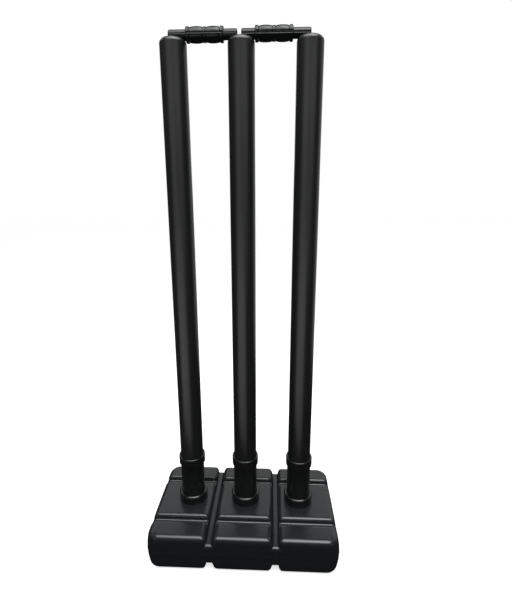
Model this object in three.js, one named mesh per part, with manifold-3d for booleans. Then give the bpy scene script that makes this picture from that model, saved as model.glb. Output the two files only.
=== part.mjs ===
// Cricket stumps with two bails on a weighted base.
// Millimetres, +Z up. The stumps stand in a row along X, and the front of the base faces -Y.
// The origin is the centre of the base's underside.

import * as THREE from "three";
import { mergeVertices } from "three/addons/utils/BufferGeometryUtils.js";
import Module from "manifold-3d";

const wasm = await Module();
wasm.setup();

// Fits and facets
const clearance = 0.3;
const overrun = 6;
const roundFacets = 32;
const bailFacets = 24;
const filletFacets = 4;
const hollowFacets = 2;

// Hollow base with three pads by three pads on both faces
const baseWidth = 304;
const baseDepth = 171;
const baseHeight = 60;
const baseEndSwell = 4;
const baseFrontSwell = 1.2;
const baseEdgeRound = 8;
const baseCornerRound = 19;
const baseWall = 3.5;
const columnGrooveSpacing = 102;
const columnGrooveMouth = 26;
const columnGrooveFloor = 9;
const columnGrooveDepth = 13;
const columnGrooveShoulder = 6.5;
const rowGrooveSpacing = 90;
const rowGrooveMouth = 20.6;
const rowGrooveFloor = 8.6;
const rowGrooveDepth = 8.2;
const rowGrooveShoulder = 5.4;
const grooveEndRound = 4.8;
const swellSteps = 6;

// Row of stumps
const stumpSpacing = 90.8;
const rowSetback = 5.5;
const wicketHeight = 711;

// Post that stands in the base and holds a stump
const postDiameter = 38.8;
const postWall = 2.5;
const postDepth = 48;
const postHeight = 85;
const postLeadIn = 1;
const collarDiameter = 43.2;
const collarHeight = 15;
const collarChamfer = 0.6;
const seatDepth = 9;

// Bush that lines the mouth of each well
const bushDiameter = 48;
const bushHeight = 15;
const bushRound = 2.8;
const bushSleeveWall = 2.5;
const bushSleeveDepth = 24;

// Stump
const stumpDiameter = 36;
const stumpFootDiameter = 37.2;
const stumpWall = 2.5;
const stumpShoulderRound = 6.5;
const stumpCrownRise = 0.8;
const stumpSpigotLength = 40;
const stumpSpigotWall = 2.2;
const stumpShoulderThickness = 3;
const bailSeatDepth = 3.1;

// Bail
const bailBarrelDiameter = 19.6;
const bailBarrelLength = 50;
const bailSpigotDiameter = 13.2;
const bailLongSpigot = 23.2;
const bailShortSpigot = 17.7;
const bailEndChamfer = 1.2;
const bailFlangeWidth = 4.6;
const bailFlangeRound = 1.6;
const bailNeckWidth = 1.6;
const bailNeckDepth = 1.1;
const bailRingWidth = 3.6;
const bailRingDrop = 0.5;
const bailSwell = 0.7;
const bailSpacing = 5.5;
const bailShift = -2.4;

// Plug of the filling hole in the back of the base
const plugHeadDiameter = 28;
const plugHeadHeight = 4.6;
const plugHeadRound = 0.8;
const plugRimWidth = 2.6;
const plugDishDepth = 2.6;
const plugKnobDiameter = 11;
const plugShankDiameter = 20;
const plugShankLength = 14;
const plugShankTaper = 0.6;
const plugInset = 0.5;
const neckWall = 3.5;
const neckLength = 18;

// Fits that follow from the sizes above
const postRadius = postDiameter / 2;
const postBoreRadius = postRadius - postWall;
const boreRadius = postRadius + clearance;
const sleeveRadius = boreRadius + bushSleeveWall;
const sleeveWellRadius = sleeveRadius + clearance;
const stumpRadius = stumpDiameter / 2;
const seatRadius = stumpFootDiameter / 2 + clearance;
const seatHeight = postHeight - seatDepth;
const spigotRadius = postBoreRadius - clearance;
const bailSeatRadius = bailSpigotDiameter / 2 + clearance;
const bailAxisHeight = wicketHeight - bailSeatDepth + bailSeatRadius;
const plugRecessRadius = plugHeadDiameter / 2 + clearance;
const plugRecessDepth = plugInset + plugHeadHeight + clearance;
const plugHoleRadius = plugShankDiameter / 2 + clearance;

const blackPlastic = {
  color: 0x17181a,
  roughness: 0.28,
  metalness: 0,
};
const satinPlastic = {
  color: 0x1b1c1e,
  roughness: 0.38,
  metalness: 0,
};
const plugRubber = {
  color: 0x121212,
  roughness: 0.75,
  metalness: 0,
};

// A closed geometry with shared vertices and no zero-area triangles.
function weld(geometry) {
  const bare = geometry.clone();
  bare.deleteAttribute("normal");
  bare.deleteAttribute("uv");
  const merged = mergeVertices(bare);
  const corners = merged.index.array;
  const kept = [];
  for (let i = 0; i < corners.length; i += 3) {
    const a = corners[i];
    const b = corners[i + 1];
    const c = corners[i + 2];
    if (a !== b && b !== c && c !== a) {
      kept.push(a, b, c);
    }
  }
  merged.setIndex(kept);
  return merged;
}

function toSolid(geometry) {
  const welded = weld(geometry);
  const mesh = new wasm.Mesh({
    numProp: 3,
    vertProperties: new Float32Array(welded.attributes.position.array),
    triVerts: new Uint32Array(welded.index.array),
  });
  return new wasm.Manifold(mesh);
}

function toGeometry(solid) {
  const mesh = solid.getMesh();
  const geometry = new THREE.BufferGeometry();
  const places = new THREE.BufferAttribute(new Float32Array(mesh.vertProperties), 3);
  geometry.setAttribute("position", places);
  geometry.setIndex(Array.from(mesh.triVerts));
  geometry.computeVertexNormals();
  return geometry;
}

// Turns a profile of [radius, height] points about Z.
function turned(profile, facets) {
  const points = profile.map(([radius, height]) => new THREE.Vector2(radius, height));
  const geometry = new THREE.LatheGeometry(points, facets);
  geometry.rotateX(Math.PI / 2);
  return weld(geometry);
}

// Points of an arc about a centre, as [across, up] pairs.
function arcPoints(centre, radius, start, end, facets) {
  const points = [];
  for (let i = 0; i <= facets; i += 1) {
    const angle = start + (end - start) * (i / facets);
    const across = centre[0] + radius * Math.cos(angle);
    const up = centre[1] + radius * Math.sin(angle);
    points.push([across, up]);
  }
  return points;
}

function roundedOutline(width, depth, corner) {
  const right = width / 2;
  const back = depth / 2;
  const outline = new THREE.Shape();
  outline.absarc(right - corner, back - corner, corner, 0, Math.PI / 2, false);
  outline.absarc(corner - right, back - corner, corner, Math.PI / 2, Math.PI, false);
  outline.absarc(corner - right, corner - back, corner, Math.PI, Math.PI * 1.5, false);
  outline.absarc(right - corner, corner - back, corner, Math.PI * 1.5, Math.PI * 2, false);
  outline.closePath();
  return outline;
}

// The base block without its grooves. An inset makes the smaller block of the hollow inside.
function block(inset, facets) {
  const edge = baseEdgeRound - inset;
  const width = baseWidth - 2 * baseEndSwell - 2 * baseEdgeRound;
  const depth = baseDepth - 2 * baseFrontSwell - 2 * baseEdgeRound;
  const corner = baseCornerRound - baseEdgeRound;
  const height = baseHeight - 2 * inset;
  const outline = roundedOutline(width, depth, corner);
  const geometry = new THREE.ExtrudeGeometry(outline, {
    depth: height - 2 * edge,
    steps: swellSteps,
    bevelEnabled: true,
    bevelThickness: edge,
    bevelSize: edge,
    bevelSegments: facets,
    curveSegments: facets,
  });
  geometry.translate(0, 0, inset + edge);
  const places = geometry.attributes.position;
  for (let i = 0; i < places.count; i += 1) {
    const level = (2 * places.getZ(i)) / baseHeight - 1;
    const share = 1 - level * level;
    const across = (baseEndSwell * share) / (baseWidth / 2 - baseEndSwell);
    const along = (baseFrontSwell * share) / (baseDepth / 2 - baseFrontSwell);
    places.setX(i, places.getX(i) * (1 + across));
    places.setY(i, places.getY(i) * (1 + along));
  }
  return toSolid(geometry);
}

// A groove cutter along Z, open towards +Y, with its mouth at Y = 0.
// Its shoulders are rounded, its walls lean, and its ends flare where it leaves the block.
function grooveCutter({ mouth, floor, depth, shoulder, length }, grow, facets) {
  const mouthHalf = mouth / 2 + grow;
  const floorHalf = floor / 2 + grow;
  const lean = Math.atan2(mouthHalf - shoulder - floorHalf, depth - shoulder);
  const centre = [mouthHalf, -shoulder];
  const right = arcPoints(centre, shoulder, Math.PI / 2, Math.PI - lean, facets);
  const left = right.map(([across, up]) => [-across, up]);
  const points = [
    [mouthHalf, overrun],
    [-mouthHalf, overrun],
    ...left,
    [-floorHalf, -depth],
    [floorHalf, -depth],
    ...right.reverse(),
  ];
  const outline = new THREE.Shape(points.map(([across, up]) => new THREE.Vector2(across, up)));
  const geometry = new THREE.ExtrudeGeometry(outline, {
    depth: length - 2 * grooveEndRound,
    steps: 1,
    bevelEnabled: true,
    bevelThickness: grooveEndRound,
    bevelSize: -grooveEndRound,
    bevelOffset: grooveEndRound,
    bevelSegments: facets,
  });
  geometry.translate(0, 0, grooveEndRound - length / 2);
  geometry.rotateX(Math.PI / 2);
  return geometry;
}

// Cuts the two column grooves and the two row grooves into both faces of a block.
// The column grooves, which run from front to back, are the deeper ones.
function cutGrooves(solid, inset, facets) {
  const columnGroove = {
    mouth: columnGrooveMouth,
    floor: columnGrooveFloor,
    depth: columnGrooveDepth,
    shoulder: columnGrooveShoulder,
    length: baseDepth,
  };
  const rowGroove = {
    mouth: rowGrooveMouth,
    floor: rowGrooveFloor,
    depth: rowGrooveDepth,
    shoulder: rowGrooveShoulder,
    length: baseWidth,
  };
  let grooved = solid;
  for (const face of [1, -1]) {
    const height = baseHeight / 2 + face * (baseHeight / 2 - inset);
    for (const side of [-1, 1]) {
      const column = grooveCutter(columnGroove, inset, facets);
      const row = grooveCutter(rowGroove, inset, facets);
      row.rotateZ(Math.PI / 2);
      if (face < 0) {
        column.rotateY(Math.PI);
        row.rotateX(Math.PI);
      }
      column.translate((side * columnGrooveSpacing) / 2, 0, height);
      row.translate(0, (side * rowGrooveSpacing) / 2, height);
      grooved = grooved.subtract(toSolid(column)).subtract(toSolid(row));
    }
  }
  return grooved;
}

// A round bar from one height to another, upright at x, y.
function uprightBar(radius, x, y, bottom, top) {
  const geometry = new THREE.CylinderGeometry(radius, radius, top - bottom, roundFacets);
  geometry.rotateX(Math.PI / 2);
  geometry.translate(x, y, (bottom + top) / 2);
  return toSolid(geometry);
}

// A round bar that runs into the base from behind at the plug's height.
function plugBar(radius, front, back) {
  const geometry = new THREE.CylinderGeometry(radius, radius, back - front, roundFacets);
  geometry.translate(0, (front + back) / 2, baseHeight / 2);
  return toSolid(geometry);
}

function baseShell() {
  const stations = [-stumpSpacing, 0, stumpSpacing];
  const back = baseDepth / 2;
  let hollow = cutGrooves(block(baseWall, hollowFacets), baseWall, hollowFacets);
  for (const x of stations) {
    const column = uprightBar(sleeveWellRadius + baseWall, x, rowSetback, -overrun, baseHeight);
    hollow = hollow.subtract(column);
  }
  hollow = hollow.subtract(plugBar(plugRecessRadius + neckWall, back - neckLength, back + overrun));
  let shell = cutGrooves(block(0, filletFacets), 0, filletFacets).subtract(hollow);
  for (const x of stations) {
    const mouth = baseHeight - bushSleeveDepth - clearance;
    const floor = baseHeight - postDepth - clearance;
    const top = baseHeight + overrun;
    shell = shell.subtract(uprightBar(sleeveWellRadius, x, rowSetback, mouth, top));
    shell = shell.subtract(uprightBar(boreRadius, x, rowSetback, floor, top));
  }
  shell = shell.subtract(plugBar(plugHoleRadius, back - neckLength - overrun, back + overrun));
  shell = shell.subtract(plugBar(plugRecessRadius, back - plugRecessDepth, back + overrun));
  return toGeometry(shell);
}

function wellBush() {
  const outside = bushDiameter / 2;
  const shoulder = arcPoints([outside - bushRound, bushHeight - bushRound], bushRound,
    0, Math.PI / 2, filletFacets);
  return turned([
    [boreRadius, -bushSleeveDepth],
    [sleeveRadius, -bushSleeveDepth],
    [sleeveRadius, clearance],
    [outside, clearance],
    ...shoulder,
    [boreRadius, bushHeight],
    [boreRadius, -bushSleeveDepth],
  ], roundFacets);
}

function post() {
  const collar = collarDiameter / 2;
  const collarBottom = postHeight - collarHeight;
  return turned([
    [postBoreRadius, -postDepth],
    [postRadius - postLeadIn, -postDepth],
    [postRadius, postLeadIn - postDepth],
    [postRadius, collarBottom],
    [collar - collarChamfer, collarBottom],
    [collar, collarBottom + collarChamfer],
    [collar, postHeight - collarChamfer],
    [collar - collarChamfer, postHeight],
    [seatRadius, postHeight],
    [seatRadius, seatHeight],
    [postBoreRadius, seatHeight],
    [postBoreRadius, -postDepth],
  ], roundFacets);
}

// A stump whose lower end steps in to a spigot and whose domed top is grooved for the bails.
function stump() {
  const foot = seatHeight + clearance;
  const spigotEnd = foot - stumpSpigotLength;
  const spigotBore = spigotRadius - stumpSpigotWall;
  const bore = stumpRadius - stumpWall;
  const ceiling = wicketHeight - bailSeatDepth - stumpWall;
  const shoulderTop = wicketHeight - stumpCrownRise;
  const shoulder = arcPoints([stumpRadius - stumpShoulderRound, shoulderTop - stumpShoulderRound],
    stumpShoulderRound, 0, Math.PI / 2, filletFacets + 1);
  const body = turned([
    [0, ceiling],
    [bore, ceiling],
    [bore, foot + stumpShoulderThickness],
    [spigotBore, foot + stumpShoulderThickness],
    [spigotBore, spigotEnd],
    [spigotRadius, spigotEnd],
    [spigotRadius, foot],
    [stumpFootDiameter / 2, foot],
    ...shoulder,
    [0, wicketHeight],
  ], roundFacets);
  const length = stumpDiameter + 2 * overrun;
  const channel = new THREE.CylinderGeometry(bailSeatRadius, bailSeatRadius, length, roundFacets);
  channel.rotateZ(Math.PI / 2);
  channel.translate(0, 0, bailAxisHeight);
  return toGeometry(toSolid(body).subtract(toSolid(channel)));
}

// One swelling of the barrel between two necks, from one end to the other.
function swelling(radius, start, end) {
  const points = [];
  for (let i = 0; i <= filletFacets; i += 1) {
    const share = i / filletFacets;
    const drop = bailSwell * (2 * share - 1) ** 2;
    points.push([radius - drop, start + (end - start) * share]);
  }
  return points;
}

// A bail along Z from its short spigot's end, with a flange at each end of the barrel.
function bail() {
  const spigot = bailSpigotDiameter / 2;
  const barrel = bailBarrelDiameter / 2;
  const neck = barrel - bailNeckDepth;
  const ring = barrel - bailRingDrop;
  const start = bailShortSpigot;
  const end = start + bailBarrelLength;
  const length = end + bailLongSpigot;
  const middle = (start + end) / 2;
  const flangeEnd = start + bailFlangeWidth;
  const ringStart = middle - bailRingWidth / 2;
  const half = [
    [barrel - bailFlangeRound, start],
    [barrel, start + bailFlangeRound],
    [barrel, flangeEnd],
    [neck, flangeEnd],
    [neck, flangeEnd + bailNeckWidth],
    ...swelling(barrel, flangeEnd + bailNeckWidth, ringStart - bailNeckWidth),
    [neck, ringStart - bailNeckWidth],
    [neck, ringStart],
    [ring, ringStart],
  ];
  const otherHalf = half.map(([radius, along]) => [radius, 2 * middle - along]).reverse();
  return turned([
    [0, 0],
    [spigot - bailEndChamfer, 0],
    [spigot, bailEndChamfer],
    [spigot, start],
    ...half,
    ...otherHalf,
    [spigot, end],
    [spigot, length - bailEndChamfer],
    [spigot - bailEndChamfer, length],
    [0, length],
  ], bailFacets);
}

// The filler plug along Z with its head's underside at Z = 0.
function fillerPlug() {
  const head = plugHeadDiameter / 2;
  const shank = plugShankDiameter / 2;
  const knob = plugKnobDiameter / 2;
  const rim = head - plugRimWidth;
  const dish = plugHeadHeight - plugDishDepth;
  return turned([
    [0, -plugShankLength],
    [shank - plugShankTaper, -plugShankLength],
    [shank, 0],
    [head, 0],
    [head, plugHeadHeight - plugHeadRound],
    [head - plugHeadRound, plugHeadHeight],
    [rim, plugHeadHeight],
    [rim, dish],
    [knob, dish],
    [knob, plugHeadHeight],
    [0, plugHeadHeight],
  ], roundFacets);
}

function named(name, geometry, look) {
  const mesh = new THREE.Mesh(geometry, new THREE.MeshStandardMaterial(look));
  mesh.name = name;
  return mesh;
}

const wicket = new THREE.Group();
wicket.add(named("base_shell", baseShell(), blackPlastic));

const plug = named("filler_plug", fillerPlug(), plugRubber);
plug.rotation.x = -Math.PI / 2;
plug.position.set(0, baseDepth / 2 - plugInset - plugHeadHeight, baseHeight / 2);
wicket.add(plug);

const places = [["left", -1], ["middle", 0], ["right", 1]];
for (const [side, step] of places) {
  const station = new THREE.Group();
  station.position.set(step * stumpSpacing, rowSetback, baseHeight);
  station.add(named(`well_bush_${side}`, wellBush(), blackPlastic));
  station.add(named(`post_${side}`, post(), satinPlastic));
  station.add(named(`stump_${side}`, stump(), satinPlastic));
  wicket.add(station);
}

const bails = new THREE.Group();
bails.position.set(bailShift, rowSetback, baseHeight + bailAxisHeight);
for (const [side, step] of [["left", -1], ["right", 1]]) {
  const piece = named(`bail_${side}`, bail(), blackPlastic);
  piece.rotation.y = (step * Math.PI) / 2;
  piece.position.x = (step * bailSpacing) / 2;
  bails.add(piece);
}
wicket.add(bails);

export default wicket;
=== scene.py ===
import math

import bmesh
import bpy
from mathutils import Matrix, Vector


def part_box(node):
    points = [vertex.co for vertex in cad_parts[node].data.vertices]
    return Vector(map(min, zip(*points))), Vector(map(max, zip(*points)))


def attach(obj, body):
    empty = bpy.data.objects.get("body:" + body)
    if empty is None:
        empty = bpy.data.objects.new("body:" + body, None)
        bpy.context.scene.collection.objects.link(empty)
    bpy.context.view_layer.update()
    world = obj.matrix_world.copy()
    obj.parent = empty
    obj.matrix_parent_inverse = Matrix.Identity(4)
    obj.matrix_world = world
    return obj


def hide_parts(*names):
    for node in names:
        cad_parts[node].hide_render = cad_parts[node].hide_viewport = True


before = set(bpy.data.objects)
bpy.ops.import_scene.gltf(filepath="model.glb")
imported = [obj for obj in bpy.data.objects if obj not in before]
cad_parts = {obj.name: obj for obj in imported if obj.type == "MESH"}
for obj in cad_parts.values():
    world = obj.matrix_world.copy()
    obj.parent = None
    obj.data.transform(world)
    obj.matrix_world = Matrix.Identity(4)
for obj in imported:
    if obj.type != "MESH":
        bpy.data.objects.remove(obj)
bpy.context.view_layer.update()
scene = bpy.context.scene

stumpPlaces = {"left": -0.0908, "middle": 0.0, "right": 0.0908}  # metres along the row
rowY = 0.0055                                                    # the row stands a little behind the middle
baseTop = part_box("base_shell")[1][2]


# Camera: a close wide-angle view from a little right of the middle

cameraView = {
    "place": (0.04283, -0.55955, 0.56081),
    "pitch": 13.60,       # degrees down
    "yaw": 2.41,          # degrees to the left
    "roll": 0.10,
    "lens": 23.33,        # millimetres
    "frameHeight": 36,    # millimetres
    "nearest": 0.01,      # metres
}


def addCamera():
    bpy.ops.object.camera_add(location=cameraView["place"])
    camera = bpy.context.object
    camera.name = "camera"
    camera.rotation_euler = (
        math.radians(90 - cameraView["pitch"]),
        math.radians(cameraView["roll"]),
        math.radians(cameraView["yaw"]),
    )
    camera.data.sensor_fit = "VERTICAL"
    camera.data.sensor_height = cameraView["frameHeight"]
    camera.data.lens = cameraView["lens"]
    camera.data.clip_start = cameraView["nearest"]
    scene.camera = camera


addCamera()
print("camera placed")


# Modelling helpers

mergeDistance = 0.000002  # points of a spun outline closer than this are one
fineEdge = 0.0002         # the rounding of edges that look sharp


def selectNothing():
    if bpy.context.object and bpy.context.object.mode != "OBJECT":
        bpy.ops.object.mode_set(mode="OBJECT")
    bpy.ops.object.select_all(action="DESELECT")


def makeActive(piece):
    selectNothing()
    piece.select_set(True)
    bpy.context.view_layer.objects.active = piece


def applyModifier(piece, kind, **settings):
    makeActive(piece)
    modifier = piece.modifiers.new(kind.lower(), kind)
    for key, value in settings.items():
        setattr(modifier, key, value)
    bpy.ops.object.modifier_apply(modifier=modifier.name)


def cutWith(piece, cutter, operation="DIFFERENCE"):
    applyModifier(piece, "BOOLEAN", object=cutter, operation=operation, solver="EXACT")
    bpy.data.objects.remove(cutter, do_unlink=True)


def finishShading(piece, degrees=32):
    makeActive(piece)
    bpy.ops.object.shade_smooth_by_angle(angle=math.radians(degrees))
    applyModifier(piece, "WEIGHTED_NORMAL", keep_sharp=True, weight=60)


def arc(centre, radius, start, end, steps):
    # points of an arc in degrees, as (radius, height) pairs
    points = []
    for step in range(steps + 1):
        angle = math.radians(start + (end - start) * step / steps)
        points.append((centre[0] + radius * math.cos(angle), centre[1] + radius * math.sin(angle)))
    return points


def spinOutline(name, outline, centre, axis="Z", turns=96):
    # spins an outline of (radius, along) pairs about an axis through centre
    def place(radius, along):
        offset = {"X": (along, 0, radius), "Y": (radius, along, 0), "Z": (radius, 0, along)}[axis]
        return [centre[i] + offset[i] for i in range(3)]

    selectNothing()
    bpy.ops.mesh.primitive_plane_add(size=0.001, location=(0, 0, 0))
    piece = bpy.context.object
    piece.name = name
    bpy.ops.object.mode_set(mode="EDIT")
    bpy.ops.mesh.merge(type="CENTER")
    here = place(*outline[0])
    bpy.ops.transform.translate(value=here)
    for radius, along in outline[1:]:
        there = place(radius, along)
        step = [there[i] - here[i] for i in range(3)]
        bpy.ops.mesh.extrude_region_move(TRANSFORM_OT_translate={"value": step})
        here = there
    bpy.ops.mesh.select_all(action="SELECT")
    direction = {"X": (1, 0, 0), "Y": (0, 1, 0), "Z": (0, 0, 1)}[axis]
    bpy.ops.mesh.spin(steps=turns, angle=2 * math.pi, center=centre, axis=direction)
    bpy.ops.mesh.select_all(action="SELECT")
    bpy.ops.mesh.remove_doubles(threshold=mergeDistance)
    bpy.ops.mesh.normals_make_consistent(inside=False)
    bpy.ops.object.mode_set(mode="OBJECT")
    return piece


def softenEdges(piece, width, segments=2, degrees=30):
    applyModifier(piece, "BEVEL", width=width, segments=segments, limit_method="ANGLE",
                  angle_limit=math.radians(degrees), harden_normals=False)


def addBar(name, radius, length, centre, rotation, vertices=96):
    selectNothing()
    bpy.ops.mesh.primitive_cylinder_add(vertices=vertices, radius=radius, depth=length,
                                        location=centre, rotation=rotation)
    bar = bpy.context.object
    bar.name = name
    bpy.ops.object.transform_apply(location=True, rotation=True, scale=True)
    return bar


def copyAlongRow(piece):
    # the middle piece and a copy at each other place in the row, each with its own mesh
    row = {}
    for side, x in stumpPlaces.items():
        row[side] = piece
        if side != "middle":
            makeActive(piece)
            bpy.ops.object.duplicate()
            row[side] = bpy.context.object
            row[side].location.x = x
            bpy.ops.object.transform_apply(location=True, rotation=False, scale=False)
    return row


def carry(piece, body, slot, material, *nodes):
    piece.data.materials.clear()
    piece.data.materials.append(material)
    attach(piece, body)
    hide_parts(*nodes)


# Finishes

def newGroup(name, inputs, outputs):
    group = bpy.data.node_groups.new(name, "ShaderNodeTree")
    for label, kind, default in inputs:
        socket = group.interface.new_socket(label, in_out="INPUT", socket_type=kind)
        socket.default_value = default
    for label, kind in outputs:
        group.interface.new_socket(label, in_out="OUTPUT", socket_type=kind)
    return group, group.nodes.new("NodeGroupInput"), group.nodes.new("NodeGroupOutput")


skinNoise = {
    "driftDetail": 3,
    "grainDetail": 2,
    "waveHeight": 0.0004,     # metres at full depth
    "grainHeight": 0.00005,
}


def buildMouldedSkin():
    # colour drift, roughness drift and the slight unevenness of moulded plastic
    group, source, result = newGroup(
        "mouldedSkin",
        [("Colour", "NodeSocketColor", (0.02, 0.02, 0.02, 1)),
         ("Worn colour", "NodeSocketColor", (0.03, 0.03, 0.03, 1)),
         ("Low roughness", "NodeSocketFloat", 0.15),
         ("High roughness", "NodeSocketFloat", 0.25),
         ("Drift scale", "NodeSocketFloat", 20.0),
         ("Drift along Z", "NodeSocketFloat", 1.0),
         ("Grain scale", "NodeSocketFloat", 900.0),
         ("Wave depth", "NodeSocketFloat", 0.1),
         ("Grain depth", "NodeSocketFloat", 0.05)],
        [("Colour", "NodeSocketColor"), ("Roughness", "NodeSocketFloat"), ("Normal", "NodeSocketVector")],
    )
    nodes, links = group.nodes, group.links
    coordinates = nodes.new("ShaderNodeTexCoord")
    drift = nodes.new("ShaderNodeTexNoise")
    drift.inputs["Detail"].default_value = skinNoise["driftDetail"]
    stretch = nodes.new("ShaderNodeCombineXYZ")
    stretch.inputs["X"].default_value = 1
    stretch.inputs["Y"].default_value = 1
    links.new(source.outputs["Drift along Z"], stretch.inputs["Z"])
    stretched = nodes.new("ShaderNodeVectorMath")
    stretched.operation = "MULTIPLY"
    links.new(coordinates.outputs["Object"], stretched.inputs[0])
    links.new(stretch.outputs["Vector"], stretched.inputs[1])
    links.new(stretched.outputs["Vector"], drift.inputs["Vector"])
    links.new(source.outputs["Drift scale"], drift.inputs["Scale"])
    grain = nodes.new("ShaderNodeTexNoise")
    grain.inputs["Detail"].default_value = skinNoise["grainDetail"]
    links.new(coordinates.outputs["Object"], grain.inputs["Vector"])
    links.new(source.outputs["Grain scale"], grain.inputs["Scale"])

    colour = nodes.new("ShaderNodeMix")
    colour.data_type = "RGBA"
    links.new(drift.outputs["Fac"], colour.inputs["Factor"])
    links.new(source.outputs["Colour"], colour.inputs["A"])
    links.new(source.outputs["Worn colour"], colour.inputs["B"])
    links.new(colour.outputs["Result"], result.inputs["Colour"])

    roughness = nodes.new("ShaderNodeMapRange")
    links.new(drift.outputs["Fac"], roughness.inputs["Value"])
    links.new(source.outputs["Low roughness"], roughness.inputs["To Min"])
    links.new(source.outputs["High roughness"], roughness.inputs["To Max"])
    links.new(roughness.outputs["Result"], result.inputs["Roughness"])

    wave = nodes.new("ShaderNodeBump")
    wave.inputs["Distance"].default_value = skinNoise["waveHeight"]
    links.new(source.outputs["Wave depth"], wave.inputs["Strength"])
    links.new(drift.outputs["Fac"], wave.inputs["Height"])
    fine = nodes.new("ShaderNodeBump")
    fine.inputs["Distance"].default_value = skinNoise["grainHeight"]
    links.new(source.outputs["Grain depth"], fine.inputs["Strength"])
    links.new(grain.outputs["Fac"], fine.inputs["Height"])
    links.new(wave.outputs["Normal"], fine.inputs["Normal"])
    links.new(fine.outputs["Normal"], result.inputs["Normal"])
    return group


mouldedSkin = buildMouldedSkin()

finishes = {
    "basePlastic": {
        # the cool tint of both colours is painted light: it stands in for the bluish light that the top
        # faces reflect
        "Colour": (0.0130, 0.0155, 0.0170, 1), "Worn colour": (0.0170, 0.0195, 0.0210, 1),
        "Low roughness": 0.23, "High roughness": 0.31,
        "Drift scale": 26.0, "Grain scale": 1400.0, "Wave depth": 0.12, "Grain depth": 0.05,
    },
    "bushPlastic": {
        "Colour": (0.0070, 0.0076, 0.0080, 1), "Worn colour": (0.0110, 0.0118, 0.0124, 1),
        "Low roughness": 0.10, "High roughness": 0.16,
        "Drift scale": 60.0, "Grain scale": 1600.0, "Wave depth": 0.10, "Grain depth": 0.05,
    },
    "postPlastic": {
        "Colour": (0.0080, 0.0085, 0.0090, 1), "Worn colour": (0.0110, 0.0117, 0.0122, 1),
        "Low roughness": 0.20, "High roughness": 0.26,
        "Drift scale": 40.0, "Grain scale": 1500.0, "Wave depth": 0.12, "Grain depth": 0.08,
    },
    "stumpPlastic": {
        "Colour": (0.0095, 0.0100, 0.0104, 1), "Worn colour": (0.0135, 0.0142, 0.0147, 1),
        "Low roughness": 0.20, "High roughness": 0.40,
        "Drift scale": 70.0, "Grain scale": 1500.0, "Wave depth": 0.22, "Grain depth": 0.18,
        "Drift along Z": 0.10,  # streaks along the tube
    },
    "bailPlastic": {
        "Colour": (0.0075, 0.0092, 0.0092, 1), "Worn colour": (0.0115, 0.0140, 0.0138, 1),
        "Low roughness": 0.10, "High roughness": 0.15,
        "Drift scale": 90.0, "Grain scale": 1800.0, "Wave depth": 0.12, "Grain depth": 0.10,
        "Specular": 0.24,
    },
    "plugRubber": {
        "Colour": (0.0080, 0.0080, 0.0080, 1), "Worn colour": (0.0150, 0.0150, 0.0150, 1),
        "Low roughness": 0.50, "High roughness": 0.65,
        "Drift scale": 90.0, "Grain scale": 1200.0, "Wave depth": 0.10, "Grain depth": 0.50,
    },
}


def plastic(name):
    material = bpy.data.materials.new(name)
    material.use_nodes = True
    nodes, links = material.node_tree.nodes, material.node_tree.links
    shader = nodes["Principled BSDF"]
    shader.inputs["IOR"].default_value = 1.5
    skin = nodes.new("ShaderNodeGroup")
    skin.node_tree = mouldedSkin
    for label, value in finishes[name].items():
        if label == "Specular":
            shader.inputs["Specular IOR Level"].default_value = value
        else:
            skin.inputs[label].default_value = value
    links.new(skin.outputs["Colour"], shader.inputs["Base Color"])
    links.new(skin.outputs["Roughness"], shader.inputs["Roughness"])
    links.new(skin.outputs["Normal"], shader.inputs["Normal"])
    return material


basePlastic = plastic("basePlastic")
bushPlastic = plastic("bushPlastic")
postPlastic = plastic("postPlastic")
stumpPlastic = plastic("stumpPlastic")
bailPlastic = plastic("bailPlastic")
plugRubber = plastic("plugRubber")
print("finishes made")


# Base

base = {
    "width": 0.2958,           # at the top and the underside
    "depth": 0.1684,
    "height": 0.0600,
    "endSwell": 0.0062,        # pull on the cage that swells the short sides by 4 mm
    "frontSwell": 0.0016,
    "cornerRound": 0.018,
    "edgeRound": 0.008,
    "columns": (-0.051, 0.051),
    "rows": (-0.045, 0.045),
    "columnGroove": {"depth": 0.013, "floor": 0.0084, "run": 0.0030},  # run: lean of each wall
    "rowGroove": {"depth": 0.0082, "floor": 0.0092, "run": 0.0010},
    "columnShoulder": 0.0064,
    "rowShoulder": 0.0048,
    "exitRound": 0.0060,
    "exitFloorRound": 0.0058,
    "padCornerRound": 0.0055,
    "columnFloorRound": 0.0025,
    "rowFloorRound": 0.0028,
    "sleeveRadius": 0.0225,
    "sleeveDepth": 0.0243,
    "wellRadius": 0.0197,
    "wellDepth": 0.0483,
    "plugHead": 0.0143,
    "plugRecess": 0.0054,
    "plugHole": 0.0103,
    "plugReach": 0.022,
    "seam": (0.0004, 0.0009),  # half the width of the mould's seam, at its crest and its foot
    "seamRise": 0.00022,
    "swellShares": (0.0, 0.75, 1.0, 0.75, 0.0),  # of the swell, from the underside up
    "swellCuts": (0.008, 0.014),  # rings above and below the middle, for the swell to bend
    "cutterReach": 0.4,
    "cutterAbove": 0.004,
    "cornerSteps": 12,
    "edgeSteps": 8,
    "smoothAngle": 40,
    "levelNormal": 0.97,       # the upward part of a face's normal, at least, on a level face
    "uprightNormal": 0.02,     # and at most, on an upright one
    "capGap": 0.0005,
}


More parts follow.
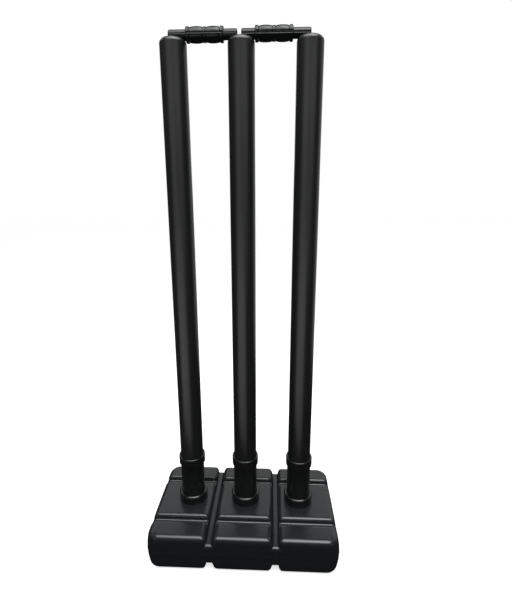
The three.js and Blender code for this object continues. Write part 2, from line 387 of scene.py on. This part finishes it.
def addGrooveCutter(alongX, place, top):
    # a bar with leaning sides, wide end outwards, that sticks out past the base
    groove = base["rowGroove"] if alongX else base["columnGroove"]
    reach, above = base["cutterReach"], base["cutterAbove"]
    full = groove["depth"] + above
    selectNothing()
    bpy.ops.mesh.primitive_cube_add(size=1, location=(0, 0, 0))
    cutter = bpy.context.object
    across = 1 if alongX else 0
    size = [reach, reach, full]
    size[across] = groove["floor"]
    bpy.ops.object.mode_set(mode="EDIT")
    bpy.ops.transform.resize(value=size)
    bpy.ops.mesh.select_all(action="DESELECT")
    mesh = bmesh.from_edit_mesh(cutter.data)
    outward = 1 if top else -1
    for face in mesh.faces:
        face.select = face.normal.z * outward > base["levelNormal"]
    bmesh.update_edit_mesh(cutter.data)
    widen = [1, 1, 1]
    widen[across] = 1 + 2 * groove["run"] * full / (groove["depth"] * groove["floor"])
    bpy.ops.transform.resize(value=widen)
    bpy.ops.mesh.select_all(action="SELECT")
    middle = (groove["depth"] - above) / 2
    height = base["height"] - middle if top else middle
    move = [0, 0, height]
    move[across] = place
    bpy.ops.transform.translate(value=move)
    bpy.ops.object.mode_set(mode="OBJECT")
    return cutter


def faceKind(face):
    # cap: top or underside, side: outer wall, columnWall, rowWall and floor: inside a groove
    centre = face.calc_center_median()
    if abs(face.normal.z) > base["levelNormal"]:
        atCap = min(abs(centre.z), abs(centre.z - base["height"])) < base["capGap"]
        return "cap" if atCap else "floor"
    if abs(face.normal.z) < base["uprightNormal"]:
        return "side"
    return "columnWall" if abs(face.normal.x) > abs(face.normal.y) else "rowWall"


def weighEdges(piece):
    widths = {
        ("cap", "side"): base["edgeRound"],
        ("cap", "columnWall"): base["columnShoulder"],
        ("cap", "rowWall"): base["rowShoulder"],
        ("columnWall", "side"): base["exitRound"],
        ("rowWall", "side"): base["exitRound"],
        ("floor", "side"): base["exitFloorRound"],
        ("columnWall", "rowWall"): base["padCornerRound"],
        ("columnWall", "floor"): base["columnFloorRound"],
        ("floor", "rowWall"): base["rowFloorRound"],
    }
    mesh = bmesh.new()
    mesh.from_mesh(piece.data)
    bmesh.ops.dissolve_limit(mesh, angle_limit=math.radians(1), verts=mesh.verts, edges=mesh.edges)
    weight = mesh.edges.layers.float.new("bevel_weight_edge")
    for edge in mesh.edges:
        if len(edge.link_faces) == 2:
            kinds = tuple(sorted(faceKind(face) for face in edge.link_faces))
            edge[weight] = widths.get(kinds, 0) / base["edgeRound"]
    mesh.to_mesh(piece.data)
    mesh.free()


def swellSides(piece):
    bpy.ops.object.add(type="LATTICE", location=(0, 0, base["height"] / 2))
    cage = bpy.context.object
    cage.scale = (base["width"], base["depth"], base["height"])
    cage.data.points_u = 2
    cage.data.points_v = 2
    cage.data.points_w = len(base["swellShares"])
    layerPoints = cage.data.points_u * cage.data.points_v
    for index, point in enumerate(cage.data.points):
        share = base["swellShares"][index // layerPoints]
        point.co_deform.x *= 1 + share * base["endSwell"] / (base["width"] / 2)
        point.co_deform.y *= 1 + share * base["frontSwell"] / (base["depth"] / 2)
    applyModifier(piece, "LATTICE", object=cage)
    bpy.data.objects.remove(cage, do_unlink=True)


def raiseSeam(piece, middle):
    # the strip at mid-height stands out as the seam of the mould
    makeActive(piece)
    bpy.ops.object.mode_set(mode="EDIT")
    bpy.ops.mesh.select_all(action="DESELECT")
    mesh = bmesh.from_edit_mesh(piece.data)
    for vertex in mesh.verts:
        vertex.select = abs(vertex.co.z - middle) < (base["seam"][0] + base["seam"][1]) / 2
    mesh.select_flush_mode()
    bmesh.update_edit_mesh(piece.data)
    bpy.ops.transform.shrink_fatten(value=base["seamRise"])
    bpy.ops.object.mode_set(mode="OBJECT")


def bisectAt(piece, height):
    makeActive(piece)
    bpy.ops.object.mode_set(mode="EDIT")
    bpy.ops.mesh.select_all(action="SELECT")
    bpy.ops.mesh.bisect(plane_co=(0, 0, height), plane_no=(0, 0, 1))
    bpy.ops.object.mode_set(mode="OBJECT")


def buildBase():
    selectNothing()
    bpy.ops.mesh.primitive_cube_add(size=1, location=(0, 0, 0))
    piece = bpy.context.object
    piece.name = "padded_base"
    bpy.ops.object.mode_set(mode="EDIT")
    bpy.ops.transform.resize(value=(base["width"], base["depth"], base["height"]))
    bpy.ops.transform.translate(value=(0, 0, base["height"] / 2))
    bpy.ops.mesh.select_mode(type="EDGE")
    bpy.ops.mesh.select_all(action="DESELECT")
    mesh = bmesh.from_edit_mesh(piece.data)
    for edge in mesh.edges:
        low, high = edge.verts
        edge.select = abs(low.co.z - high.co.z) > base["height"] / 2
    bmesh.update_edit_mesh(piece.data)
    bpy.ops.mesh.bevel(offset=base["cornerRound"], segments=base["cornerSteps"], affect="EDGES")
    bpy.ops.mesh.select_mode(type="VERT")
    bpy.ops.object.mode_set(mode="OBJECT")

    for top in (True, False):
        for place in base["columns"]:
            cutWith(piece, addGrooveCutter(False, place, top))
        for place in base["rows"]:
            cutWith(piece, addGrooveCutter(True, place, top))
    weighEdges(piece)
    applyModifier(piece, "BEVEL", width=base["edgeRound"], segments=base["edgeSteps"],
                  limit_method="WEIGHT", offset_type="OFFSET", use_clamp_overlap=False)
    print("base rounded:", len(piece.data.polygons), "faces")

    middle = base["height"] / 2
    for offset in (*base["seam"], *base["swellCuts"]):
        bisectAt(piece, middle - offset)
        bisectAt(piece, middle + offset)
    swellSides(piece)
    raiseSeam(piece, middle)

    wells = ((base["sleeveRadius"], base["sleeveDepth"]), (base["wellRadius"], base["wellDepth"]))
    upright = (0, 0, 0)
    for x in stumpPlaces.values():
        for radius, depth in wells:
            cutWith(piece, addBar("well", radius, 2 * depth, (x, rowY, baseTop), upright))
    fillingHole = ((base["plugHead"], base["plugRecess"]), (base["plugHole"], base["plugReach"]))
    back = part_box("base_shell")[1][1]
    backwards = (math.radians(90), 0, 0)
    for radius, depth in fillingHole:
        cutWith(piece, addBar("hole", radius, 2 * depth, (0, back, middle), backwards))
    finishShading(piece, base["smoothAngle"])
    carry(piece, "base", "base_plastic", basePlastic, "base_shell")


buildBase()
print("base built")


# Bushes around the feet of the posts

bush = {
    "radius": 0.0240,
    "height": 0.015,
    "topRound": 0.0034,
    "footRound": 0.0012,
    "bore": 0.0197,
    "sleeve": 0.0222,
    "sleeveDepth": 0.024,
    "lift": 0.0003,
    "mouthChamfer": 0.0004,
}


def buildBush():
    outer, topRound, foot = bush["radius"], bush["topRound"], bush["footRound"]
    outline = [(bush["bore"], -bush["sleeveDepth"]), (bush["sleeve"], -bush["sleeveDepth"]),
               (bush["sleeve"], bush["lift"])]
    outline += arc((outer - foot, bush["lift"] + foot), foot, -90, 0, 4)
    outline += arc((outer - topRound, bush["height"] - topRound), topRound, 0, 90, 10)
    outline += [(bush["bore"] + bush["mouthChamfer"], bush["height"]),
                (bush["bore"], bush["height"] - bush["mouthChamfer"]),
                (bush["bore"], -bush["sleeveDepth"])]
    piece = spinOutline("bush", outline, (stumpPlaces["middle"], rowY, baseTop))
    softenEdges(piece, fineEdge)
    finishShading(piece)
    return piece


for side, piece in copyAlongRow(buildBush()).items():
    piece.name = "bush_" + side
    carry(piece, "base", "bush_plastic", bushPlastic, "well_bush_" + side)
print("bushes built")


# Posts with the collar that holds a stump

post = {
    "radius": 0.0194,
    "bore": 0.0169,
    "depth": 0.048,
    "height": 0.085,
    "collar": 0.0216,
    "collarHeight": 0.015,
    "collarRound": 0.0016,
    "collarFootRound": 0.0010,
    "seat": 0.0189,
    "seatDepth": 0.009,
    "seatChamfer": 0.0003,
    "footChamfer": 0.001,
    "flare": 0.0003,           # under the collar
    "flareHeight": 0.0008,
}


def buildPost():
    radius, collar = post["radius"], post["collar"]
    rounding, footRounding = post["collarRound"], post["collarFootRound"]
    collarFoot = post["height"] - post["collarHeight"]
    seatFloor = post["height"] - post["seatDepth"]
    outline = [(post["bore"], -post["depth"]), (radius - post["footChamfer"], -post["depth"]),
               (radius, post["footChamfer"] - post["depth"]),
               (radius, collarFoot - post["flareHeight"]), (radius + post["flare"], collarFoot)]
    outline += arc((collar - footRounding, collarFoot + footRounding), footRounding, -90, 0, 5)
    outline += arc((collar - rounding, post["height"] - rounding), rounding, 0, 90, 8)
    outline += [(post["seat"] + post["seatChamfer"], post["height"]),
                (post["seat"], post["height"] - post["seatChamfer"]),
                (post["seat"], seatFloor), (post["bore"], seatFloor), (post["bore"], -post["depth"])]
    piece = spinOutline("collared_post", outline, (stumpPlaces["middle"], rowY, baseTop))
    softenEdges(piece, fineEdge)
    finishShading(piece)
    return piece


for side, piece in copyAlongRow(buildPost()).items():
    piece.name = "collared_post_" + side
    carry(piece, side + "_post", "post_plastic", postPlastic, "post_" + side)
print("posts built")


# Stumps

stump = {
    "radius": 0.018,
    "footRadius": 0.0186,      # the stump is a little thicker at its foot
    "bore": 0.0155,
    "foot": 0.0763,
    "spigotLength": 0.040,
    "spigot": 0.0166,
    "spigotBore": 0.0144,
    "top": 0.711,
    "shoulderRound": 0.0065,
    "crownRise": 0.0008,
    "ceiling": 0.7054,
    "grooveRadius": 0.0069,
    "grooveLength": 0.06,
    "bailAxis": 0.7148,
    "spigotFloor": 0.003,      # thickness between the tube's bore and the spigot's
    "shoulderTurn": 86,        # degrees of the shoulder's round
    "crownSteps": 8,
    "edgeRound": 0.0006,
}


def buildStump():
    radius, rounding = stump["radius"], stump["shoulderRound"]
    shoulder = stump["top"] - stump["crownRise"] - rounding
    spigotEnd = stump["foot"] - stump["spigotLength"]
    boreFoot = stump["foot"] + stump["spigotFloor"]
    outline = [(0, stump["ceiling"]), (stump["bore"], stump["ceiling"]), (stump["bore"], boreFoot),
               (stump["spigotBore"], boreFoot), (stump["spigotBore"], spigotEnd),
               (stump["spigot"], spigotEnd), (stump["spigot"], stump["foot"]),
               (stump["footRadius"], stump["foot"])]
    outline += arc((radius - rounding, shoulder), rounding, 0, stump["shoulderTurn"], 14)
    edgeRadius, edgeHeight = outline[-1]
    for step in range(1, stump["crownSteps"] + 1):
        share = step / stump["crownSteps"]
        height = edgeHeight + (stump["top"] - edgeHeight) * (2 - share) * share
        outline.append((edgeRadius * (1 - share), height))
    centre = (stumpPlaces["middle"], rowY, baseTop)
    piece = spinOutline("domed_stump", outline, centre)
    axisPlace = (centre[0], centre[1], centre[2] + stump["bailAxis"])
    alongRow = (0, math.radians(90), 0)
    groove = addBar("groove", stump["grooveRadius"], stump["grooveLength"], axisPlace, alongRow, vertices=64)
    cutWith(piece, groove)
    softenEdges(piece, stump["edgeRound"], segments=3, degrees=28)
    finishShading(piece)
    return piece


for side, piece in copyAlongRow(buildStump()).items():
    piece.name = "domed_stump_" + side
    carry(piece, side + "_stump", "stump_plastic", stumpPlastic, "stump_" + side)
print("stumps built")


# Bails

bail = {
    "shift": -0.0024,
    "spacing": 0.0055,
    "barrel": 0.0098,
    "barrelLength": 0.050,
    "spigot": 0.0066,
    "longSpigot": 0.0232,
    "shortSpigot": 0.0177,
    "endRound": 0.0014,
    "flangeWidth": 0.0046,
    "flangeRound": 0.0016,
    "neckWidth": 0.0016,
    "neckDepth": 0.0011,
    "ringWidth": 0.0036,
    "ringDrop": 0.0005,
    "swell": 0.0007,
    "bulgeSteps": 12,
    "flangeEase": (0.0001, 0.0005),  # drops of the flange's edge towards the neck
    "flangeEaseRun": 0.0004,
    "neckEase": 0.0003,
    "neckEaseRun": 0.0002,
    "ringEase": 0.0004,
    "ringEaseRun": 0.0005,
    "edgeRound": 0.00012,
    "seamHeight": 0.0021,
    "seamStep": 0.0009,
    "seamRound": 0.0010,
    "seamInset": 0.0008,
    "seamTurn": {"left": 12, "right": 20},  # degrees; how far the bails lie turned
}


def barrelHalf(start, middle):
    # the outline from one end of the barrel to its middle ring
    barrel, rounding = bail["barrel"], bail["flangeRound"]
    neck = barrel - bail["neckDepth"]
    ring = barrel - bail["ringDrop"]
    nearDrop, farDrop = bail["flangeEase"]
    flangeEnd = start + bail["flangeWidth"]
    ringStart = middle - bail["ringWidth"] / 2
    bulgeStart = flangeEnd + bail["neckWidth"]
    bulgeEnd = ringStart - bail["neckWidth"]

    def neckBetween(low, high):
        ease, run = bail["neckEase"], bail["neckEaseRun"]
        return [(neck + ease, low + run), (neck, low + bail["neckWidth"] / 2), (neck + ease, high - run)]

    points = [(barrel - rounding, start)]
    points += arc((barrel - rounding, start + rounding), rounding, -60, 0, 4)
    points += [(barrel - nearDrop, flangeEnd - bail["flangeEaseRun"]), (barrel - farDrop, flangeEnd)]
    points += neckBetween(flangeEnd, bulgeStart)
    for step in range(bail["bulgeSteps"] + 1):
        share = step / bail["bulgeSteps"]
        drop = bail["swell"] * (2 * share - 1) ** 2
        points.append((barrel - drop, bulgeStart + (bulgeEnd - bulgeStart) * share))
    points += neckBetween(bulgeEnd, ringStart)
    points += [(ring - bail["ringEase"], ringStart), (ring, ringStart + bail["ringEaseRun"])]
    return points


def addSeamBar(side, reach, centre, low, high):
    # the mould's seam, a bead that stands out in front and behind
    place = (centre[0] + (low + high) / 2, centre[1], centre[2])
    turn = (math.radians(bail["seamTurn"][side]), 0, 0)
    size = (abs(high - low) - 2 * bail["seamInset"], 2 * (reach + bail["seamStep"]), bail["seamHeight"])
    selectNothing()
    bpy.ops.mesh.primitive_cube_add(size=1, location=place, rotation=turn, scale=size)
    bar = bpy.context.object
    bpy.ops.object.transform_apply(location=True, rotation=True, scale=True)
    softenEdges(bar, bail["seamRound"], segments=4, degrees=50)
    return bar


def buildBail(side, direction):
    spigot, rounding = bail["spigot"], bail["endRound"]
    start = bail["shortSpigot"]
    end = start + bail["barrelLength"]
    length = end + bail["longSpigot"]
    middle = (start + end) / 2
    outline = [(0, 0)] + arc((spigot - rounding, rounding), rounding, -90, 0, 5) + [(spigot, start)]
    half = barrelHalf(start, middle)
    outline += half + [(radius, 2 * middle - along) for radius, along in reversed(half)]
    outline += [(spigot, end)] + arc((spigot - rounding, length - rounding), rounding, 0, 90, 5)
    outline.append((0, length))
    innerEnd = bail["shift"] + direction * bail["spacing"] / 2
    centre = (innerEnd, rowY, baseTop + stump["bailAxis"])
    placed = [(radius, direction * along) for radius, along in outline]
    piece = spinOutline("turned_bail_" + side, placed, centre, "X", 64)

    for reach, low, high in ((bail["barrel"], start, end), (spigot, 0, length)):
        cutWith(piece, addSeamBar(side, reach, centre, direction * low, direction * high), "UNION")
    softenEdges(piece, bail["edgeRound"], degrees=35)
    finishShading(piece)
    carry(piece, side + "_bail", "bail_plastic", bailPlastic, "bail_" + side)


buildBail("left", -1)
buildBail("right", 1)
print("bails built")


# Filler plug in the back of the base

plug = {
    "head": 0.014,
    "headHeight": 0.0046,
    "headRound": 0.0009,
    "rimWidth": 0.0026,
    "dishDepth": 0.0026,
    "rimRound": 0.0006,
    "rimEase": 0.0004,
    "knob": 0.0055,
    "knobRound": 0.0006,
    "knobFlare": 0.0008,
    "shank": 0.010,
    "shankLength": 0.014,
    "taper": 0.0006,
}


def buildPlug():
    head, rounding, top = plug["head"], plug["headRound"], plug["headHeight"]
    dish = top - plug["dishDepth"]
    rim = head - plug["rimWidth"]
    rimRound, knob, knobRound = plug["rimRound"], plug["knob"], plug["knobRound"]
    outline = [(0, -plug["shankLength"]), (plug["shank"] - plug["taper"], -plug["shankLength"]),
               (plug["shank"], 0), (head, 0)]
    outline += arc((head - rounding, top - rounding), rounding, 0, 90, 6)
    outline += arc((rim + rimRound, top - rimRound), rimRound, 90, 180, 4)
    outline += [(rim - plug["rimEase"], dish), (knob + plug["knobFlare"], dish)]
    outline += [(knob, top - knobRound), (knob - knobRound, top), (0, top)]
    lowest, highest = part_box("filler_plug")
    middle = ((lowest[0] + highest[0]) / 2, highest[1] - top, (lowest[2] + highest[2]) / 2)
    piece = spinOutline("bung", outline, middle, "Y", 64)
    softenEdges(piece, fineEdge)
    finishShading(piece)
    carry(piece, "plug", "plug_rubber", plugRubber, "filler_plug")


buildPlug()
print("plug built")


# Floor, world and lamps

studio = {
    "floorColour": (0.86, 0.86, 0.86, 1),
    "floorSize": 30,
    "floorDrop": 0.0002,       # below the underside
    "floorRoughness": 0.9,
    "floorGlow": 0.74,         # white for the camera, with the shadow still in it
    "cardColour": (0.01, 0.01, 0.01, 1),
    "cardRoughness": 1.0,
    "ambient": 0.26,
    "dark": 0.05,              # what gloss sees where there is no light
    "panel": 1.30,             # a soft panel in front, two bands in its upper part
    "horizonShare": 0.38,      # of the panel's level, near the horizon
    "topShare": 2.00,          # and at its top
    "rightBand": (0.40, 0.80),  # of the left band, between the two bands and in the right one
    "rightSide": 0.60,         # a weaker one at the right
    "backdrop": 1.3,           # the backdrop high behind the object
    "backStrip": 1.6,          # a low light behind it
    "frontTop": (1.2, 5.0),    # high in front, weaker at the left and stronger at the right
}


def addFloor():
    selectNothing()
    bpy.ops.mesh.primitive_plane_add(size=studio["floorSize"], location=(0, 0, -studio["floorDrop"]))
    floor = bpy.context.object
    floor.name = "floor"
    floor.visible_glossy = False
    floor.visible_diffuse = False
    material = bpy.data.materials.new("paleFloor")
    material.use_nodes = True
    nodes, links = material.node_tree.nodes, material.node_tree.links
    shader = nodes["Principled BSDF"]
    shader.inputs["Base Color"].default_value = studio["floorColour"]
    shader.inputs["Roughness"].default_value = studio["floorRoughness"]
    path = nodes.new("ShaderNodeLightPath")
    glow = nodes.new("ShaderNodeMath")
    glow.operation = "MULTIPLY"
    glow.inputs[1].default_value = studio["floorGlow"]
    seen = nodes.new("ShaderNodeMath")
    seen.operation = "MAXIMUM"
    links.new(path.outputs["Is Camera Ray"], seen.inputs[0])
    links.new(path.outputs["Is Transmission Ray"], seen.inputs[1])
    links.new(seen.outputs[0], glow.inputs[0])
    shader.inputs["Emission Color"].default_value = (1, 1, 1, 1)
    links.new(glow.outputs[0], shader.inputs["Emission Strength"])
    floor.data.materials.append(material)


# black cards, which only gloss sees, keep the front faces and the posts dark
cards = {
    # name: size, middle, tilt in degrees
    "floorCard": ((1.6, 0.73), (0.0, 0.20, -0.0001), 0),
    "frontCard": ((0.6, 0.085), (0.0, -0.165, 0.0425), 90),
}


def addCard(name, size, place, tilt):
    selectNothing()
    bpy.ops.mesh.primitive_plane_add(size=1, location=place, rotation=(math.radians(tilt), 0, 0))
    card = bpy.context.object
    card.name = name
    card.scale = (*size, 1)
    bpy.ops.object.transform_apply(location=True, rotation=True, scale=True)
    card.visible_camera = False
    card.visible_diffuse = False
    card.visible_shadow = False
    card.visible_transmission = False
    material = bpy.data.materials.new("blackCard")
    material.use_nodes = True
    shader = material.node_tree.nodes["Principled BSDF"]
    shader.inputs["Base Color"].default_value = studio["cardColour"]
    shader.inputs["Roughness"].default_value = studio["cardRoughness"]
    card.data.materials.append(material)


# where gloss sees each light: turns in degrees from straight in front, rightwards, and heights
# as the upward part of a direction of length 1; a third value is the softness of both ends
lightPlaces = {
    "lowBandTurn": (-55, 17, 13),
    "leftBandTurn": (-50, -8, 11),
    "rightBandTurn": (-8, 50, 11),
    "rightBandStep": (0, 26),
    "upperStart": (-0.20, -0.02),
    "riseStart": (0.12, 0.30),
    "panelFoot": (-0.66, -0.42),
    "panelHead": (0.31, 0.37),
    "rightSideTurn": (102, 158, 16),
    "rightSideHeight": (-0.60, 0.50, 0.10),
    "backdropTurn": (75, 105),
    "backdropFoot": (0.42, 0.58),
    "backdropHead": (0.60, 0.80),
    "stripTurn": (150, 162),
    "stripHeight": (0.06, 0.33, 0.05),
    "frontTopStep": (-22, 14),
    "frontTopTurn": (50, 70),
    "frontTopHeight": (0.76, 1.20, 0.04),
}


def addWorld():
    # gloss sees a white backdrop behind and a soft panel in front, by direction
    world = bpy.data.worlds.new("studio")
    scene.world = world
    world.use_nodes = True
    nodes, links = world.node_tree.nodes, world.node_tree.links

    def connect(socket, value):
        if isinstance(value, (int, float)):
            socket.default_value = value
        else:
            links.new(value, socket)

    def math2(operation, first, second=0.0):
        node = nodes.new("ShaderNodeMath")
        node.operation = operation
        connect(node.inputs[0], first)
        connect(node.inputs[1], second)
        return node.outputs[0]

    def ramp(value, low, high):
        # 0 below low, 1 above high, smooth between them
        node = nodes.new("ShaderNodeMapRange")
        node.interpolation_type = "SMOOTHSTEP"
        connect(node.inputs["Value"], value)
        connect(node.inputs["From Min"], low)
        connect(node.inputs["From Max"], high)
        return node.outputs["Result"]

    def blend(factor, first, second):
        node = nodes.new("ShaderNodeMix")
        node.data_type = "FLOAT"
        connect(node.inputs["Factor"], factor)
        connect(node.inputs["A"], first)
        connect(node.inputs["B"], second)
        return node.outputs["Result"]

    coordinates = nodes.new("ShaderNodeTexCoord")
    split = nodes.new("ShaderNodeSeparateXYZ")
    links.new(coordinates.outputs["Generated"], split.inputs[0])
    height = split.outputs["Z"]
    turn = math2("ARCTAN2", split.outputs["X"], math2("MULTIPLY", split.outputs["Y"], -1.0))

    def between(value, low, high, soft):
        # 1 from low to high, with soft edges
        return math2("MULTIPLY", ramp(value, low - soft, low + soft),
                     math2("SUBTRACT", 1.0, ramp(value, high - soft, high + soft)))

    def until(value, low, high):
        # 1 below low, 0 above high
        return math2("SUBTRACT", 1.0, ramp(value, low, high))

    def turns(name):
        return [math.radians(degrees) for degrees in lightPlaces[name]]

    away = math2("ABSOLUTE", turn)
    upper = ramp(height, *lightPlaces["upperStart"])
    lowBand = math2("MULTIPLY", between(turn, *turns("lowBandTurn")), math2("SUBTRACT", 1.0, upper))
    leftBand = between(turn, *turns("leftBandTurn"))
    rightBand = math2("MULTIPLY", between(turn, *turns("rightBandTurn")),
                      blend(ramp(turn, *turns("rightBandStep")), *studio["rightBand"]))
    highBand = math2("MULTIPLY", math2("ADD", leftBand, rightBand), upper)
    rise = blend(ramp(height, *lightPlaces["riseStart"]), studio["horizonShare"], studio["topShare"])
    panel = math2("ADD", lowBand, math2("MULTIPLY", highBand, rise))
    panelSpan = math2("MULTIPLY", ramp(height, *lightPlaces["panelFoot"]),
                      until(height, *lightPlaces["panelHead"]))
    gloss = blend(math2("MULTIPLY", panel, panelSpan), studio["dark"], studio["panel"])

    rightSide = math2("MULTIPLY", between(turn, *turns("rightSideTurn")),
                      between(height, *lightPlaces["rightSideHeight"]))
    gloss = blend(rightSide, gloss, studio["rightSide"])

    backdropSpan = math2("MULTIPLY", ramp(height, *lightPlaces["backdropFoot"]),
                         until(height, *lightPlaces["backdropHead"]))
    backdrop = math2("MULTIPLY", ramp(away, *turns("backdropTurn")), backdropSpan)
    gloss = blend(backdrop, gloss, studio["backdrop"])

    strip = math2("MULTIPLY", ramp(away, *turns("stripTurn")), between(height, *lightPlaces["stripHeight"]))
    gloss = blend(strip, gloss, studio["backStrip"])

    level = blend(ramp(turn, *turns("frontTopStep")), *studio["frontTop"])
    frontTop = math2("MULTIPLY", until(away, *turns("frontTopTurn")),
                     between(height, *lightPlaces["frontTopHeight"]))
    gloss = blend(frontTop, gloss, level)

    path = nodes.new("ShaderNodeLightPath")
    lit = blend(path.outputs["Is Glossy Ray"], studio["ambient"], gloss)
    lit = blend(path.outputs["Is Transmission Ray"], lit, 1.0)
    seen = blend(path.outputs["Is Camera Ray"], lit, 1.0)
    links.new(seen, nodes["Background"].inputs["Strength"])
    nodes["Background"].inputs["Color"].default_value = (1, 1, 1, 1)


lamps = {
    # name: place, point it faces, size, radiance
    "overhead": ((0.05, -0.40, 1.75), (0.0, 0.0, 0.1), (1.6, 1.2), 4.6),
}


def addLamp(name, place, target, size, radiance):
    selectNothing()
    bpy.ops.object.light_add(type="AREA", location=place)
    lamp = bpy.context.object
    lamp.name = name
    lamp.data.shape = "RECTANGLE"
    lamp.data.size, lamp.data.size_y = size
    lamp.data.energy = radiance * math.pi * size[0] * size[1]
    aim = [target[i] - place[i] for i in range(3)]
    reach = math.hypot(aim[0], aim[1])
    lamp.rotation_euler = (math.atan2(reach, -aim[2]), 0, math.atan2(-aim[0], aim[1]))


addFloor()
for cardName, settings in cards.items():
    addCard(cardName, *settings)
addWorld()
for lampName, settings in lamps.items():
    addLamp(lampName, *settings)
scene.view_settings.view_transform = "Standard"
print("studio lit")
